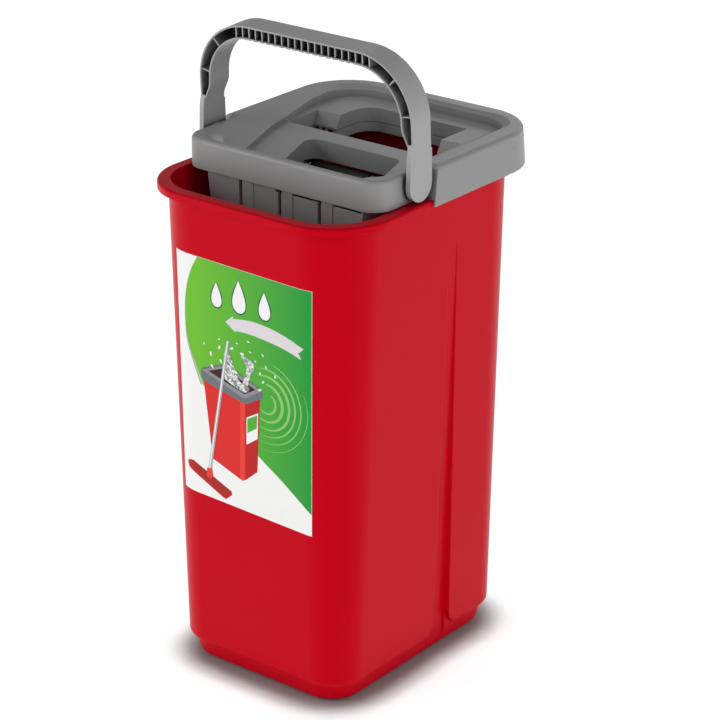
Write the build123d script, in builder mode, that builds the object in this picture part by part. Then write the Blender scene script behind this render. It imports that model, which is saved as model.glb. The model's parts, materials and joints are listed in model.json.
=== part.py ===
"""Flat-mop squeeze bucket: a tall tub with a lift-out wringer insert and a folding carry handle.

Frame: millimetres, +Z up, +X to the right along the labelled front, -Y towards the front.
The origin is on the floor under the middle of the whole bucket, so the tub itself sits a little forward.
"""
from build123d import *
import math
import os

# ---- driving dimensions -------------------------------------------------------------------
TUB_Y = -4.0              # the tub's middle, forward of the origin
RIM_Z = 390.0             # top of the tub's flange
FLANGE_Z = 384.0          # underside of the flange's turned-down lip
LEDGE_Z = 15.8            # step between the body and the plinth
WALL = 1.8                # tub wall
BODY_LOW = (163.5, 207.7, 27.0)    # width, depth and corner radius at the ledge
BODY_TOP = (185.0, 223.0, 42.0)    # the same under the flange
PLINTH_LOW = (150.0, 194.0, 25.0)
PLINTH_TOP = (156.4, 200.6, 25.5)
FOOT_HEIGHT = 1.6
FLANGE = (201.4, 239.4, 50.0)
GROOVE_TOP_Z = 350.0      # the side groove fades out here
GROOVE_LOW_X, GROOVE_SLOPE = 76.3, 0.0455
GROOVE_LOW_Y, GROOVE_TOP_Y = 20.0, 16.5
GROOVE_LOW_HALF, GROOVE_TOP_HALF = 8.4, 4.4
FLARE_R = 15.0            # rounding of the groove's mouth above the plinth
LABEL_CORNERS = ((-65.9, 342.0), (63.0, 339.0), (58.8, 143.7), (-66.8, 148.0))    # x and z
LABEL_THICKNESS = 0.25

LIP_Z = 414.2             # top of the insert
BAND_Z = 410.6            # raised band inside the lip
DECK_Z = 406.6            # recessed deck
DECK_THICKNESS = 2.6
FRONT_SKIRT_Z = 390.9
REAR_SKIRT_Z = 385.6
SKIRT_WALL = 2.4
FRONT_WIDTH = 183.7
FRONT_FACE_Y = -74.2
REAR_LOW = (206.0, 50.0)  # rear shell: width and corner radius at its lower edge
REAR_TOP = (200.0, 47.0)
REAR_BACK_LOW_Y, REAR_BACK_TOP_Y = 124.0, 122.5
SLOT_LEFT, SLOT_RIGHT = -66.5, 70.5
SLOT_FRONT, SLOT_BACK = 16.0, 48.0
BAY_LEFT, BAY_RIGHT, BAY_BACK = -44.0, 52.0, 86.0
COLLAR_WALL = 2.2
PARTING_Z = 395.4         # the frame's slot wall ends here, the collar starts just below
COLLAR_LOW_Z = 387.5
POCKET_LOW_Z = 391.4      # foot of the front pocket's walls
POCKET_END_Z = 387.0      # the same at the pocket's left end
POCKET_END_X, POCKET_END_BACK_Y = -10.0, -12.5    # how far that end reaches

PIVOT_Y, PIVOT_Z = -33.8, 405.0    # carry handle's hinge
HANDLE_LEAN = 3.0         # the handle rests this many degrees forward of upright
HANDLE_TOP_Z = 498.0      # top of the bar with the handle upright
HANDLE_HALF = 99.0
HANDLE_FRONT_Y, HANDLE_BACK_Y = -42.4, -20.2
HANDLE_BAR = 10.3
HANDLE_ARC = 48.0
HANDLE_WALL = 1.3
HANDLE_WEB = 2.2
NECK_Z = 429.0            # the arch's channel ends here
ARM_THICKNESS = 4.0
FOOT_R = 13.0
STUD_R, STUD_CLEARANCE = 5.6, 0.06
BOSS_R, BOSS_FACE_X = 8.2, 94.6
GRIP_PITCH, GRIP_RIBS = 6.15, 21

MIDDLE_X = 2.0            # the wringer sits a little to the right of the insert's middle
HOUSING_HALF = 74.7
HOUSING_WALL = 2.2
HOUSING_FRONT_Y = -70.0
HOUSING_STEP_Y = -15.0    # the front chamber tapers downwards as far back as this
HOUSING_TAPER = 12.0      # how much narrower each side of the front chamber is at its floor
HOUSING_BACK_Y = 62.0
HOUSING_LOW_Z = 300.0
DECK_UNDER_Z = DECK_Z - DECK_THICKNESS
HOUSING_SCREW_X, HOUSING_SCREW_Y = 85.4, (-20.0, 52.0)
SCREW_R = 1.75
CHEEK_THICKNESS = 3.0
CHEEK_INNER = HOUSING_HALF - HOUSING_WALL - CHEEK_THICKNESS
CHEEK_SCREWS = ((24.0, 380.0), (44.0, 350.5))    # y and z of the two screws in each cheek
CARRIER_Y, CARRIER_Z = -2.0, 384.0
CARRIER_HALF = 66.5
CARRIER_PIN_R = 3.0
EAR_THICKNESS = 4.0
BLADE_Z = 372.0
BLADE_SCREW_XS = (MIDDLE_X - 45, MIDDLE_X, MIDDLE_X + 45)
SPRING_X, SPRING_LENGTH = 32.0, 9.0
SPRING_WIRE_R, SPRING_COIL_R = 0.9, 4.6
RUNNING_GAP = 0.05
ROLLER_Y, ROLLER_Z = 14.0, 354.0
ROLLER_R, ROLLER_HALF = 10.0, 58.0
AXLE_R = 2.5
GUIDE_Y, GUIDE_Z, GUIDE_R = 56.0, 356.0, 6.0
GUIDE_PIN_R = 2.0
GUIDE_INNER, GUIDE_LENGTH = 53.0, 13.0


# ---- shared helpers -----------------------------------------------------------------------
def level(z, y=TUB_Y):
    """Horizontal sketch plane at height z, centred on y."""
    return Plane((0, y, z))


def across(x):
    """Sketch plane that faces +X at x, with its own x along +Y and its own y along +Z."""
    return Plane(origin=(x, 0, 0), x_dir=(0, 1, 0), z_dir=(1, 0, 0))


def tapered(low, z_low, top, z_top):
    """Rounded-rectangle block between two levels; each end is width, depth and corner radius."""
    with BuildPart() as block:
        with BuildSketch(level(z_low)):
            RectangleRounded(*low)
        with BuildSketch(level(z_top)):
            RectangleRounded(*top)
        loft()
    return block.part


def body_section(z, inset):
    """Width, depth and corner radius of the tub's body at height z, drawn in by inset."""
    share = (z - LEDGE_Z) / (FLANGE_Z - LEDGE_Z)
    width, depth, radius = (a + (b - a) * share for a, b in zip(BODY_LOW, BODY_TOP))
    return width - 2 * inset, depth - 2 * inset, radius - inset


def save(piece, name):
    """Label a finished piece and write it to its own file."""
    piece.part.label = name
    export_step(piece.part, f"parts/{name}.step")


# ---- tub ----------------------------------------------------------------------------------
def groove_section(z, grow):
    """Corners of the side groove's trapezoid at height z, enlarged by grow."""
    share = (z - LEDGE_Z) / (GROOVE_TOP_Z - LEDGE_Z)
    floor_x = GROOVE_LOW_X + GROOVE_SLOPE * (z - LEDGE_Z) - grow
    middle = GROOVE_LOW_Y + (GROOVE_TOP_Y - GROOVE_LOW_Y) * share
    half = GROOVE_LOW_HALF + (GROOVE_TOP_HALF - GROOVE_LOW_HALF) * share + grow
    reach, flare = 24.0, 9.0
    return [
        (floor_x, middle - half),
        (floor_x + reach, middle - half - flare),
        (floor_x + reach, middle + half + flare),
        (floor_x, middle + half),
    ]


def groove_tool(grow):
    """Cutter for the groove in the right-hand side, with its rounded mouth above the plinth."""
    with BuildPart() as tool:
        for z in (-5.0, 378.0):
            with BuildSketch(Plane.XY.offset(z)):
                with BuildLine():
                    Polyline(*groove_section(z, grow), close=True)
                make_face()
        loft()
        with BuildSketch(across(PLINTH_TOP[0] / 2 - grow)):
            for side in (-1, 1):
                edge_y = GROOVE_LOW_Y + side * (GROOVE_LOW_HALF + 1.5 + grow)
                far_y = edge_y + side * FLARE_R
                bulge = FLARE_R * (1 - 0.5 ** 0.5)
                inner_y, top_z = edge_y - side * 2, LEDGE_Z + FLARE_R
                with BuildLine():
                    Polyline((far_y, LEDGE_Z), (inner_y, LEDGE_Z), (inner_y, top_z), (edge_y, top_z))
                    ThreePointArc((edge_y, top_z), (edge_y + side * bulge, LEDGE_Z + bulge), (far_y, LEDGE_Z))
                make_face()
        extrude(amount=20)
    return tool.part


def make_bucket():
    outer = tapered(body_section(LEDGE_Z, 0), LEDGE_Z, body_section(RIM_Z - 1, 0), RIM_Z - 1)
    plinth = tapered(PLINTH_LOW, FOOT_HEIGHT, PLINTH_TOP, LEDGE_Z + 1)
    floor_z = LEDGE_Z + WALL
    inner = tapered(body_section(floor_z, WALL), floor_z, body_section(RIM_Z + 1, WALL), RIM_Z + 1)
    sump = tapered((145, 189, 22), 4.4, (152.4, 196.6, 23.5), floor_z + 0.2)
    outer_groove = groove_tool(0)
    inner_groove = groove_tool(WALL)
    with BuildPart() as hollow:
        add(inner)
        add(sump)
        add(inner_groove, mode=Mode.SUBTRACT)
        add(mirror(inner_groove, about=Plane.YZ, mode=Mode.PRIVATE), mode=Mode.SUBTRACT)
    with BuildPart() as bucket:
        add(outer)
        fillet(bucket.edges().group_by(Axis.Z)[0], 5)
        add(plinth)
        fillet(bucket.edges().group_by(Axis.Z)[0], 3.5)
        add(outer_groove, mode=Mode.SUBTRACT)
        add(mirror(outer_groove, about=Plane.YZ, mode=Mode.PRIVATE), mode=Mode.SUBTRACT)
        with BuildSketch(level(FLANGE_Z)):
            RectangleRounded(*FLANGE)
            RectangleRounded(FLANGE[0] - 2 * WALL, FLANGE[1] - 2 * WALL, FLANGE[2] - WALL, mode=Mode.SUBTRACT)
        extrude(amount=RIM_Z - FLANGE_Z)
        with BuildSketch(level(RIM_Z - 2.2)):
            RectangleRounded(*FLANGE)
        extrude(amount=2.2)
        rim_edges = bucket.edges().group_by(Axis.Z)[-1]
        fillet(rim_edges, 2.0)
        add(hollow.part, mode=Mode.SUBTRACT)
        with BuildSketch(level(0)):
            with GridLocations(116, 166, 2, 2):
                Circle(4)
        extrude(amount=FOOT_HEIGHT + 1)
        chamfer(bucket.edges().group_by(Axis.Z)[0], 0.6)
    return bucket


def make_front_label():
    heights = [z for _, z in LABEL_CORNERS]
    low, high = min(heights) - 20, max(heights) + 20
    skin = tapered(body_section(low, -LABEL_THICKNESS), low, body_section(high, -LABEL_THICKNESS), high)
    body = tapered(body_section(low - 1, 0), low - 1, body_section(high + 1, 0), high + 1)
    with BuildPart() as front_label:
        add(skin)
        add(body, mode=Mode.SUBTRACT)
        with BuildSketch(Plane.XZ.offset(70)):
            with BuildLine():
                Polyline(*LABEL_CORNERS, close=True)
            make_face()
        extrude(amount=60, mode=Mode.INTERSECT)
    return front_label


# ---- insert: top frame --------------------------------------------------------------------
def slot_outline(grow):
    """Mop slot with the bay for the mop's joint behind it, enlarged by grow."""
    with BuildSketch() as outline:
        with BuildLine():
            Polyline(
                (SLOT_LEFT, SLOT_FRONT),
                (SLOT_RIGHT, SLOT_FRONT),
                (SLOT_RIGHT, SLOT_BACK),
                (BAY_RIGHT, SLOT_BACK),
                (BAY_RIGHT, BAY_BACK),
                (BAY_LEFT, BAY_BACK),
                (BAY_LEFT, SLOT_BACK),
                (SLOT_LEFT, SLOT_BACK),
                close=True,
            )
        make_face()
        back_corners = outline.vertices().group_by(Axis.Y)[-1].sort_by(Axis.X)
        fillet(back_corners[0], 15)
        fillet(back_corners[1], 6)
        fillet(outline.vertices().group_by(Axis.Y)[0], 4)
        if grow:
            offset(amount=grow)
    return outline.sketch


def pocket_outline(grow):
    """Open pocket between the cross-bar and the front skirt, enlarged by grow."""
    with BuildSketch() as outline:
        with BuildLine():
            Polyline((-30, -2.6), (57.6, -2.6), (73.5, -51), (72, -68), (-4, -68), (-12, -50), close=True)
        make_face()
        fillet(outline.vertices().sort_by(Axis.X)[0], 9)
        fillet(outline.vertices().group_by(Axis.Y)[-1].sort_by(Axis.X)[-1], 10)
        fillet(outline.vertices().sort_by(Axis.X)[-1], 12)
        if grow:
            offset(amount=grow)
    return outline.sketch


def deck_outline():
    """Recessed deck: narrow at the front left, out to the lip on the right."""
    with BuildSketch() as outline:
        with BuildLine():
            Polyline((-38, -70), (-62, -6), (-76, 56), (-79, 106), (83, 106), (84, -48), (74, -70),
                     close=True)
        make_face()
        fillet(outline.vertices().sort_by(Axis.X)[1:3], 60)
        fillet(outline.vertices().group_by(Axis.Y)[-1], 27)
    return outline.sketch


def rear_shell(inset, z_low, z_top):
    """Rear part of the frame's shell, drawn in by inset and cut off by the sloping shoulder."""
    share_low, share_top = ((z - REAR_SKIRT_Z) / (LIP_Z - REAR_SKIRT_Z) for z in (z_low, z_top))
    sections = []
    for share in (share_low, share_top):
        width = REAR_LOW[0] + (REAR_TOP[0] - REAR_LOW[0]) * share - 2 * inset
        radius = REAR_LOW[1] + (REAR_TOP[1] - REAR_LOW[1]) * share - inset
        back = REAR_BACK_LOW_Y + (REAR_BACK_TOP_Y - REAR_BACK_LOW_Y) * share - inset
        sections.append((width, radius, back))
    front = -110.0
    with BuildPart() as shell:
        for (width, radius, back), z in zip(sections, (z_low, z_top)):
            with BuildSketch(level(z, (back + front) / 2)):
                RectangleRounded(width, back - front, radius)
        loft()
        shoulder_low, shoulder_top = -22.3 + inset, -15.0 + inset
        with BuildSketch(across(-120)):
            with BuildLine():
                Polyline((-130, 380), (shoulder_low - 1.4, 380), (shoulder_top + 1.5, 420), (-130, 420),
                         close=True)
            make_face()
        extrude(amount=240, mode=Mode.SUBTRACT)
    return shell.part


def front_shell(inset, z_low, z_top):
    """Front part of the frame's shell, which stands inside the tub's rim."""
    depth = 90.0 - inset
    with BuildPart() as shell:
        with BuildSketch(level(z_low, FRONT_FACE_Y + inset + depth / 2)):
            RectangleRounded(FRONT_WIDTH - 2 * inset, depth, 17 - inset)
        extrude(amount=z_top - z_low)
    return shell.part


def make_top_frame():
    rear_wall = 1.6
    outer_rear = rear_shell(0, REAR_SKIRT_Z, LIP_Z)
    outer_front = front_shell(0, FRONT_SKIRT_Z, LIP_Z)
    inner_rear = rear_shell(rear_wall, REAR_SKIRT_Z - 1, DECK_UNDER_Z)
    inner_front = front_shell(SKIRT_WALL, FRONT_SKIRT_Z - 1, DECK_UNDER_Z)
    slot = slot_outline(0)
    slot_wall = slot_outline(COLLAR_WALL)
    pocket = pocket_outline(0)
    pocket_wall = pocket_outline(COLLAR_WALL)
    deck = deck_outline()
    with BuildPart() as top_frame:
        add(outer_rear)
        add(outer_front)
        fillet(top_frame.edges().group_by(Axis.Z)[-1], 3.4)
        # dished top: a sloping band inside the lip, a flat band, then the recessed deck
        with BuildSketch(Plane.XY.offset(BAND_Z)):
            with Locations((3.5, 20)):
                RectangleRounded(145, 164, 12)
        with BuildSketch(Plane.XY.offset(LIP_Z + 0.4)):
            with Locations((1, 20)):
                RectangleRounded(172, 182, 26)
        loft(mode=Mode.SUBTRACT)
        with BuildSketch(Plane.XY.offset(DECK_Z)):
            add(deck)
        extrude(amount=20, mode=Mode.SUBTRACT)
        add(inner_rear, mode=Mode.SUBTRACT)
        add(inner_front, mode=Mode.SUBTRACT)
        # stiffening ribs that sit on the tub's flange
        for y in (10, 44, 78):
            with Locations(*[(side * 96, y, 397) for side in (-1, 1)]):
                Box(10.4, 2, 14)
        with Locations((-44, 117, 397), (0, 117, 397), (44, 117, 397)):
            Box(2, 12, 14)
        # walls that hang below the deck round both openings
        with BuildSketch(Plane.XY.offset(PARTING_Z)):
            add(slot_wall)
            with Locations((MIDDLE_X, SLOT_BACK + 4.5)):
                Rectangle(SLOT_RIGHT - SLOT_LEFT + 2 * COLLAR_WALL, 9)
        extrude(amount=DECK_Z - PARTING_Z - 1)
        with BuildSketch(Plane.XY.offset(POCKET_LOW_Z)):
            add(pocket_wall)
            with Locations((30, -85)):
                Rectangle(160, 24, mode=Mode.SUBTRACT)
        extrude(amount=DECK_Z - POCKET_LOW_Z - 1)
        # the left end of the pocket is deeper
        with BuildSketch(Plane.XY.offset(POCKET_END_Z)):
            add(pocket_wall)
            with Locations((POCKET_END_X + 60, -40)):
                Rectangle(120, 120, mode=Mode.SUBTRACT)
            with Locations((0, POCKET_END_BACK_Y + 60), (0, HOUSING_FRONT_Y + 5 - 60)):
                Rectangle(200, 120, mode=Mode.SUBTRACT)
        extrude(amount=POCKET_LOW_Z - POCKET_END_Z + 1)
        with BuildSketch(Plane.XY.offset(380)):
            add(slot)
            add(pocket)
        extrude(amount=40, mode=Mode.SUBTRACT)
        # wings of the slot: the back wall leans outwards
        for low_x, high_x in ((SLOT_LEFT, BAY_LEFT), (BAY_RIGHT, SLOT_RIGHT)):
            with BuildSketch(across(low_x)):
                with BuildLine():
                    Polyline((40, 394), (SLOT_BACK, 397), (SLOT_BACK + 6, DECK_Z + 1), (40, DECK_Z + 1),
                             close=True)
                make_face()
            extrude(amount=high_x - low_x, mode=Mode.SUBTRACT)
        # pivot bosses for the carry handle
        boss_depth = 6.0
        for start_x in (-BOSS_FACE_X, BOSS_FACE_X - boss_depth):
            with BuildSketch(across(start_x)):
                with Locations((PIVOT_Y, PIVOT_Z)):
                    Circle(BOSS_R)
            extrude(amount=boss_depth)
            with BuildSketch(across(start_x)):
                with Locations((PIVOT_Y, PIVOT_Z)):
                    Circle(STUD_R + STUD_CLEARANCE)
            extrude(amount=boss_depth, both=True, mode=Mode.SUBTRACT)
        # pockets behind the bosses, where the studs' barbs snap out
        barb_room = 4.4
        for start_x in (-BOSS_FACE_X + boss_depth, BOSS_FACE_X - boss_depth - barb_room):
            with BuildSketch(across(start_x)):
                with Locations((PIVOT_Y, PIVOT_Z)):
                    Circle(STUD_R + 1.6)
            extrude(amount=barb_room, mode=Mode.SUBTRACT)
        # pilot holes for the housing's screws
        for y in HOUSING_SCREW_Y:
            with Locations(*[(side * HOUSING_SCREW_X, y, DECK_UNDER_Z + 2.5) for side in (-1, 1)]):
                Cylinder(SCREW_R, 5.4, mode=Mode.SUBTRACT)
        # room for the tub's flange
        with BuildSketch(level(376)):
            RectangleRounded(FLANGE[0] + 0.9, FLANGE[1] + 0.9, FLANGE[2] + 0.4)
        extrude(amount=RIM_Z + 0.1 - 376, mode=Mode.SUBTRACT)
    return top_frame


# ---- insert: collar, housing and cheeks ---------------------------------------------------
def make_slot_collar():
    lug_height = DECK_UNDER_Z - COLLAR_LOW_Z
    wall = slot_outline(COLLAR_WALL)
    slot = slot_outline(0)
    with BuildPart() as slot_collar:
        with BuildSketch(Plane.XY.offset(COLLAR_LOW_Z)):
            add(wall)
            add(slot, mode=Mode.SUBTRACT)
            # the left wing stays open at the back, where the guide roller shows
            with Locations((SLOT_LEFT + 10.5, SLOT_BACK + 1)):
                Rectangle(18, 6, mode=Mode.SUBTRACT)
        extrude(amount=PARTING_Z - 0.4 - COLLAR_LOW_Z)
        # feet that join the ring to the lugs, below the frame's own slot wall
        with Locations(
            (MIDDLE_X, SLOT_FRONT - 4, COLLAR_LOW_Z + 3),
            (MIDDLE_X, BAY_BACK + 4, COLLAR_LOW_Z + 3),
        ):
            Box(12, 5, 6)
        # lugs that reach up to the deck
        with Locations(
            (MIDDLE_X, SLOT_FRONT - 4.5, COLLAR_LOW_Z + lug_height / 2),
            (MIDDLE_X, BAY_BACK + 4.5, COLLAR_LOW_Z + lug_height / 2),
        ):
            Box(12, 4, lug_height)
        # sill and short posts in the open wing
        post_y, sill_height = SLOT_BACK + COLLAR_WALL / 2, 1.6
        with Locations((SLOT_LEFT + 10.5, post_y, COLLAR_LOW_Z + sill_height / 2)):
            Box(20, COLLAR_WALL, sill_height)
        post_height = PARTING_Z - 0.4 - COLLAR_LOW_Z
        with Locations(*[(x, post_y, COLLAR_LOW_Z + post_height / 2) for x in (-59.5, -53.5)]):
            Box(2.4, COLLAR_WALL, post_height)
    return slot_collar


def housing_front(inset):
    """Front chamber of the housing, narrower towards its floor, drawn in by inset."""
    low_z = HOUSING_LOW_Z + inset
    high_z = DECK_UNDER_Z + (10 if inset else 0)
    back_y = HOUSING_STEP_Y + (2 * HOUSING_WALL if inset else 1.0)
    front_y = HOUSING_FRONT_Y + inset
    with BuildPart() as block:
        for z in (low_z, high_z):
            half = HOUSING_HALF - inset - HOUSING_TAPER * (DECK_UNDER_Z - z) / (DECK_UNDER_Z - HOUSING_LOW_Z)
            with BuildSketch(Plane((MIDDLE_X, (front_y + back_y) / 2, z))):
                Rectangle(2 * half, back_y - front_y)
        loft()
    return block.part


def make_roller_housing():
    width = 2 * HOUSING_HALF
    floor_back_y = -8.0
    height = DECK_UNDER_Z - HOUSING_LOW_Z
    rear_depth = HOUSING_BACK_Y - HOUSING_STEP_Y
    pocket_room = pocket_outline(COLLAR_WALL + 0.3)
    with BuildPart() as roller_housing:
        rear_y, rear_z = HOUSING_STEP_Y + rear_depth / 2, HOUSING_LOW_Z + height / 2
        with Locations((MIDDLE_X, rear_y, rear_z)):
            Box(width, rear_depth, height)
        add(housing_front(0))
        with Locations((MIDDLE_X, rear_y, rear_z + HOUSING_WALL)):
            Box(width - 2 * HOUSING_WALL, rear_depth - 2 * HOUSING_WALL, height, mode=Mode.SUBTRACT)
        add(housing_front(HOUSING_WALL), mode=Mode.SUBTRACT)
        # open behind the front chamber, so that a mop goes straight down past the roller
        with Locations((MIDDLE_X, floor_back_y + 60, 350)):
            Box(width - 2 * HOUSING_WALL, 120, 110, mode=Mode.SUBTRACT)
        # the side walls step up behind the chamber
        with BuildSketch(across(-100)):
            with BuildLine():
                Polyline((floor_back_y, 290), (80, 290), (80, 344), (22, 344), (floor_back_y, 320),
                         close=True)
            make_face()
        extrude(amount=200, mode=Mode.SUBTRACT)
        # the front wall is lower than the deck, behind the skirt
        with Locations((MIDDLE_X, HOUSING_FRONT_Y, 405)):
            Box(width - 14, 12, 22, mode=Mode.SUBTRACT)
        # room for the walls of the frame's front pocket
        with BuildSketch(Plane.XY.offset(POCKET_END_Z - 0.3)):
            add(pocket_room)
        extrude(amount=30, mode=Mode.SUBTRACT)
        # ribbed front: upright slots, each with a raised strip beside it
        slot_pitch, slot_width, strip_width = 37.0, 3.0, 10.0
        for step in (-1, 0, 1):
            slot_x = step * slot_pitch - 2
            with Locations((slot_x + 1 + strip_width / 2 + slot_width / 2, HOUSING_FRONT_Y, 345)):
                Box(strip_width, 1.2, 90)
            with Locations((slot_x, HOUSING_FRONT_Y, 349)):
                Box(slot_width, 8, 82, mode=Mode.SUBTRACT)
        # drain grid in the floor
        with Locations((MIDDLE_X, (HOUSING_FRONT_Y + floor_back_y) / 2, HOUSING_LOW_Z)):
            with GridLocations(13, 16, 10, 3):
                Box(8, 11, 10, mode=Mode.SUBTRACT)
        # screw tabs under the frame
        for y in HOUSING_SCREW_Y:
            for side in (-1, 1):
                inner_x = MIDDLE_X + side * (HOUSING_HALF - 1)
                outer_x = side * (HOUSING_SCREW_X + 3.0)
                with Locations(((inner_x + outer_x) / 2, y, DECK_UNDER_Z - 1.5)):
                    Box(abs(outer_x - inner_x), 9, 3)
                with Locations((side * HOUSING_SCREW_X, y, DECK_UNDER_Z - 1.5)):
                    Cylinder(SCREW_R, 4, mode=Mode.SUBTRACT)
        # seats for the cheek screws and the carrier pin
        with BuildSketch(across(-100)):
            with Locations((CARRIER_Y, CARRIER_Z)):
                Circle(CARRIER_PIN_R)
            with Locations(*CHEEK_SCREWS):
                Circle(SCREW_R)
        extrude(amount=200, mode=Mode.SUBTRACT)
    return roller_housing


def make_cheek(side):
    """Bearing plate inside one side wall of the housing."""
    inner_x = MIDDLE_X + side * CHEEK_INNER
    low_x = min(inner_x, inner_x + side * CHEEK_THICKNESS)
    with BuildPart() as cheek:
        with BuildSketch(across(low_x)):
            with BuildLine():
                Polyline((-12, 386.5), (-12, 372), (6, 362), (18, 346), (50, 346), (59, 352), (59, 386.5),
                         close=True)
            make_face()
            with Locations((CARRIER_Y, CARRIER_Z)):
                Circle(CARRIER_PIN_R, mode=Mode.SUBTRACT)
            with Locations((GUIDE_Y, GUIDE_Z)):
                Circle(GUIDE_PIN_R, mode=Mode.SUBTRACT)
            with Locations(*CHEEK_SCREWS):
                Circle(SCREW_R, mode=Mode.SUBTRACT)
        extrude(amount=CHEEK_THICKNESS)
    return cheek


def make_screws(places, length, head_r=3.2, head_height=1.8):
    """Group of pan-head screws; each place is the plane of a head's underside, shank along +z."""
    with BuildPart() as screws:
        for place in places:
            with BuildSketch(place):
                Circle(SCREW_R)
            extrude(amount=length)
            with BuildSketch(place):
                Circle(head_r)
            extrude(amount=-head_height)
            with Locations(place.offset(-head_height)):
                Box(3.6, 0.8, 1.2, mode=Mode.SUBTRACT)
                Box(0.8, 3.6, 1.2, mode=Mode.SUBTRACT)
    return screws


def make_housing_screws():
    places = [
        Plane((side * HOUSING_SCREW_X, y, DECK_UNDER_Z - 3.0)) for side in (-1, 1) for y in HOUSING_SCREW_Y
    ]
    return make_screws(places, 8.0)


def make_cheek_screws():
    places = []
    for side in (-1, 1):
        head_x = MIDDLE_X + side * HOUSING_HALF
        for y, z in CHEEK_SCREWS:
            places.append(Plane(origin=(head_x, y, z), x_dir=(0, 1, 0), z_dir=(-side, 0, 0)))
    return make_screws(places, HOUSING_WALL + CHEEK_THICKNESS - 0.2)


def make_carrier_pin():
    with BuildPart() as carrier_pin:
        with BuildSketch(across(MIDDLE_X - HOUSING_HALF - 0.5)):
            with Locations((CARRIER_Y, CARRIER_Z)):
                Circle(CARRIER_PIN_R)
        extrude(amount=2 * HOUSING_HALF + 1)
        chamfer(carrier_pin.edges(), 0.4)
    return carrier_pin


def make_guide_pin(side):
    """Shoulder pin that carries one guide roller from its cheek."""
    cheek_x = MIDDLE_X + side * (CHEEK_INNER + CHEEK_THICKNESS)
    head_x = MIDDLE_X + side * (GUIDE_INNER - 0.4)
    with BuildPart() as guide_pin:
        with BuildSketch(Plane(origin=(head_x, GUIDE_Y, GUIDE_Z), x_dir=(0, 1, 0), z_dir=(side, 0, 0))):
            Circle(GUIDE_PIN_R)
        extrude(amount=abs(cheek_x - head_x) - 0.2)
        with BuildSketch(Plane(origin=(head_x, GUIDE_Y, GUIDE_Z), x_dir=(0, 1, 0), z_dir=(-side, 0, 0))):
            Circle(4)
        extrude(amount=2)
        fillet(guide_pin.edges().group_by(Axis.X)[0 if side > 0 else -1], 0.8)
    return guide_pin


def make_guide_roller(side):
    start_x = MIDDLE_X + side * GUIDE_INNER
    with BuildPart() as guide_roller:
        with BuildSketch(Plane(origin=(start_x, GUIDE_Y, GUIDE_Z), x_dir=(0, 1, 0), z_dir=(side, 0, 0))):
            Circle(GUIDE_R)
            Circle(GUIDE_PIN_R + RUNNING_GAP, mode=Mode.SUBTRACT)
        extrude(amount=GUIDE_LENGTH)
        outer_edges = guide_roller.edges().filter_by(GeomType.CIRCLE).filter_by(lambda edge: edge.radius > 5)
        fillet(outer_edges, 1.2)
    return guide_roller


# ---- squeezing carrier --------------------------------------------------------------------
def make_squeeze_carrier():
    with BuildPart() as squeeze_carrier:
        with BuildSketch(across(MIDDLE_X - CARRIER_HALF)):
            # sleeve round the pin, web down from it and shelf for the blade
            with Locations((CARRIER_Y, CARRIER_Z)):
                Circle(5.6)
            with Locations((CARRIER_Y - 2.0, (CARRIER_Z + 366) / 2)):
                Rectangle(3, CARRIER_Z - 366)
            with Locations((5.5, BLADE_Z - 1.5)):
                Rectangle(17, 3)
            with Locations((CARRIER_Y, CARRIER_Z)):
                Circle(CARRIER_PIN_R + RUNNING_GAP, mode=Mode.SUBTRACT)
        extrude(amount=2 * CARRIER_HALF)
        # ears that hold the roller's bushes
        for start_x in (MIDDLE_X - CARRIER_HALF, MIDDLE_X + CARRIER_HALF - EAR_THICKNESS):
            with BuildSketch(across(start_x)):
                with BuildLine():
                    Polyline((CARRIER_Y - 4, 374), (CARRIER_Y - 4, 364), (9, 347.5), (19, 347.5),
                             (20, 360), (14, 374), close=True)
                make_face()
                with Locations((ROLLER_Y, ROLLER_Z)):
                    Circle(7)
                    Circle(4, mode=Mode.SUBTRACT)
            extrude(amount=EAR_THICKNESS)
        # windows in the sleeve where the springs sit
        for side in (-1, 1):
            with Locations((MIDDLE_X + side * SPRING_X, CARRIER_Y, CARRIER_Z + 1)):
                Box(SPRING_LENGTH + 2, 16, 16, mode=Mode.SUBTRACT)
        # stiffening ribs under the shelf
        with Locations(*[(MIDDLE_X + step * 20, 1.5, 367.8) for step in (-2, -1, 0, 1, 2)]):
            Box(2, 9, 5)
        with Locations(*[(x, 9, BLADE_Z - 1) for x in BLADE_SCREW_XS]):
            Cylinder(SCREW_R, 20, mode=Mode.SUBTRACT)
    return squeeze_carrier


def make_torsion_springs():
    """Two torsion springs round the carrier pin, each a close-wound coil with two legs."""
    coils = 5
    pitch = (SPRING_LENGTH - 2 * SPRING_WIRE_R) / (coils - 1)
    with BuildPart() as torsion_springs:
        for side in (-1, 1):
            for turn in range(coils):
                turn_x = MIDDLE_X + side * SPRING_X + (turn - (coils - 1) / 2) * pitch
                with BuildSketch(Plane.XY.offset(CARRIER_Z)):
                    with Locations((turn_x, CARRIER_Y + SPRING_COIL_R)):
                        Circle(SPRING_WIRE_R + 0.05)
                revolve(axis=Axis((turn_x, CARRIER_Y, CARRIER_Z), (1, 0, 0)))
            first_x = MIDDLE_X + side * SPRING_X - (coils - 1) / 2 * pitch
            last_x = MIDDLE_X + side * SPRING_X + (coils - 1) / 2 * pitch
            with BuildSketch(Plane.XY.offset(CARRIER_Z)):
                with Locations((first_x, CARRIER_Y - SPRING_COIL_R)):
                    Circle(SPRING_WIRE_R)
            extrude(amount=-8.5)
            with BuildSketch(Plane.XZ.offset(-CARRIER_Y)):
                with Locations((last_x, CARRIER_Z + SPRING_COIL_R)):
                    Circle(SPRING_WIRE_R)
            extrude(amount=6)
    return torsion_springs


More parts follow.
